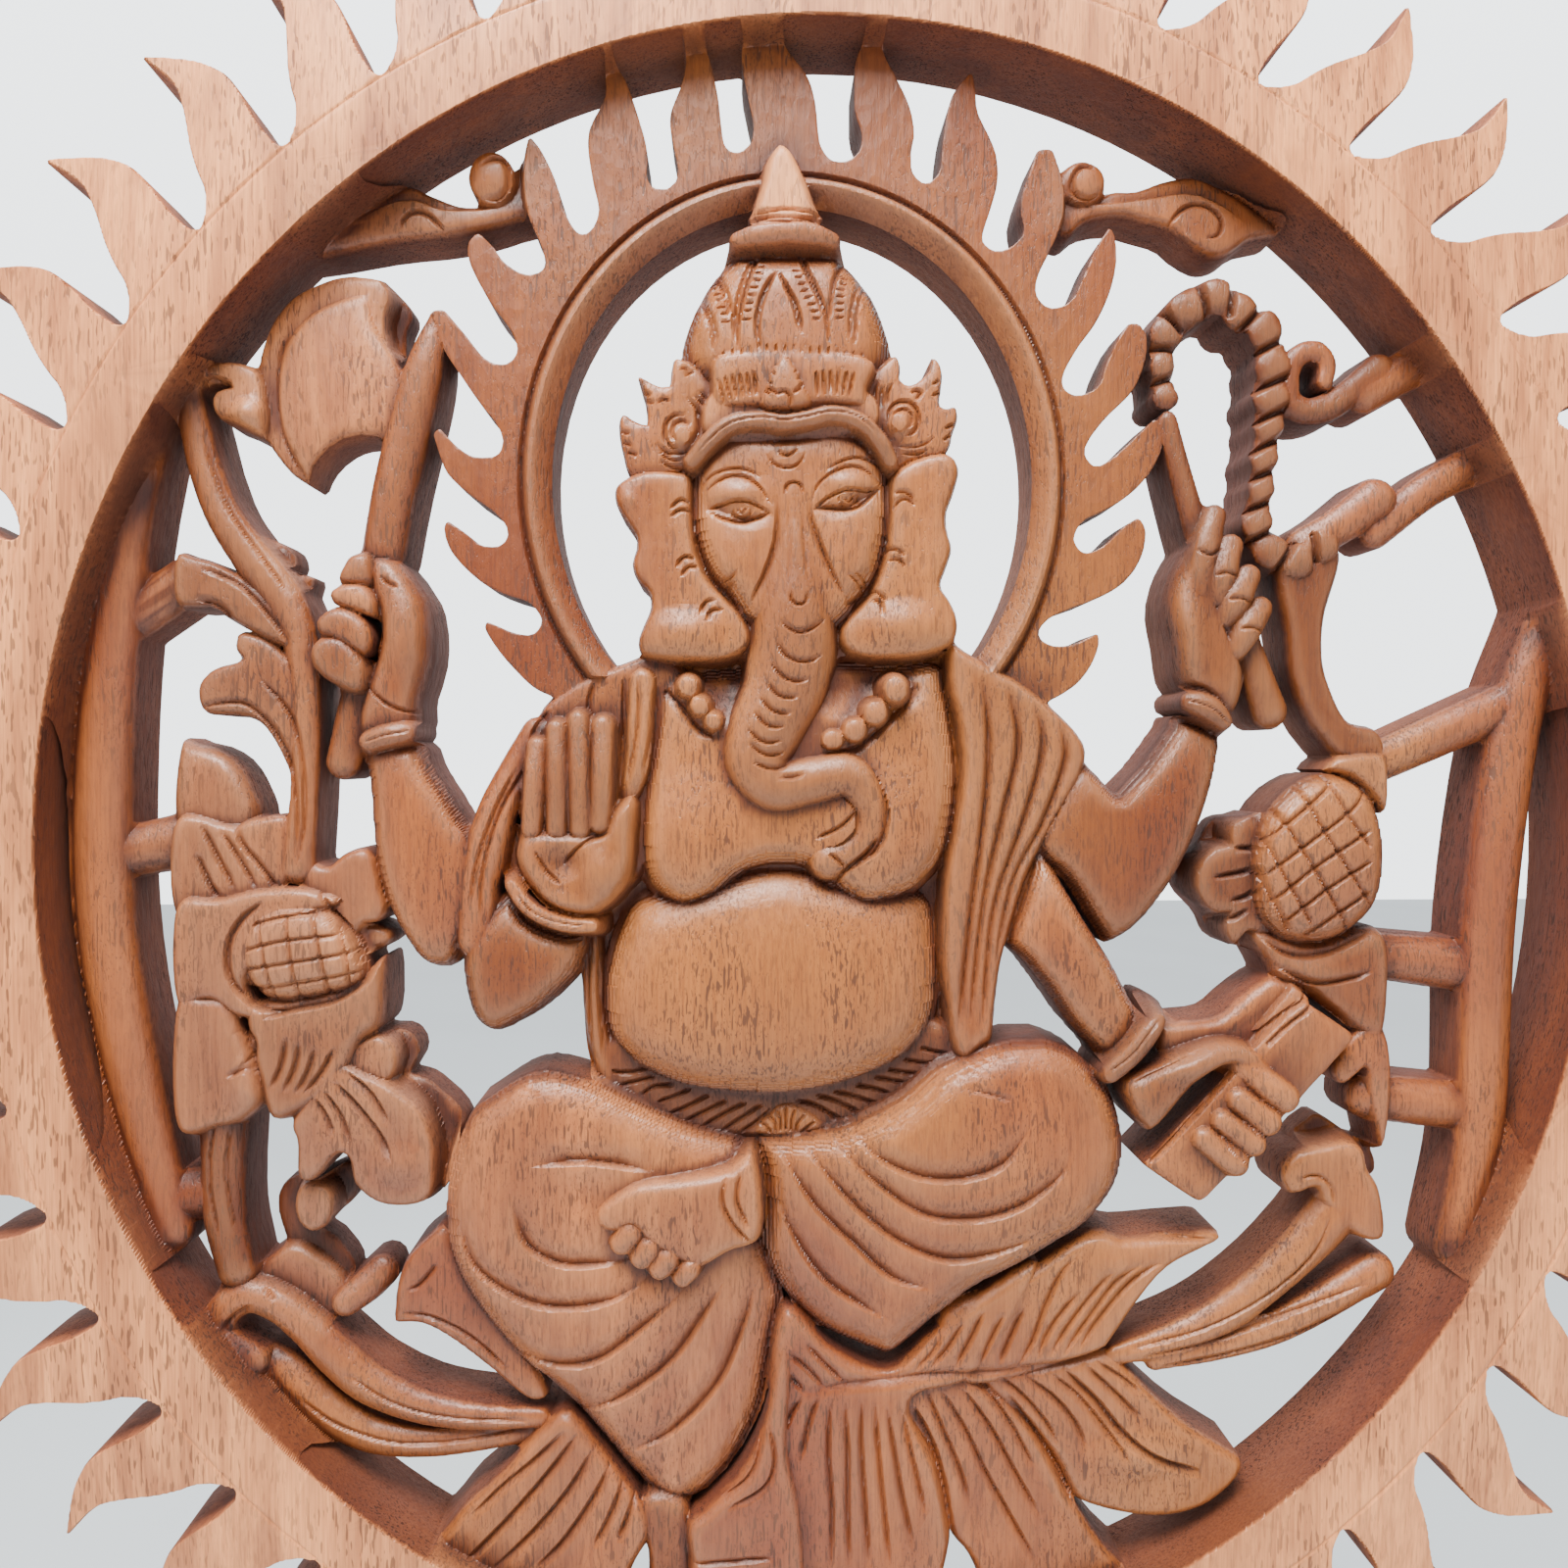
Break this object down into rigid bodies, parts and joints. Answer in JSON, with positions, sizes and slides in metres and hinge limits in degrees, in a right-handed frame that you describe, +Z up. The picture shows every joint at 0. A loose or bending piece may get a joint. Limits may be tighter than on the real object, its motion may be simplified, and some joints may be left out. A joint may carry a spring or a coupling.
{
  "type": "carved wall panel",
  "caption": "Pierced wooden relief panel: a seated elephant-headed figure on a lotus inside an upright oval ring of flames, with a flamed halo, axe, rope of beads, book and leaves.",
  "frame": {"origin": "on the flat back of the ring at its top centre, where the panel is held to the wall", "axes": "+Z up, the carved face toward -Y, the flat back at y = 0 against the wall, +X to the viewer's right"},
  "size_m": [0.5592, 0.03, 0.5839],
  "materials": {
    "wood": "satin varnish over orange-brown hardwood, darker in the recesses"
  },
  "bodies": {
    "root": {"carved_panel": "wood"}
  },
  "joints": []
}
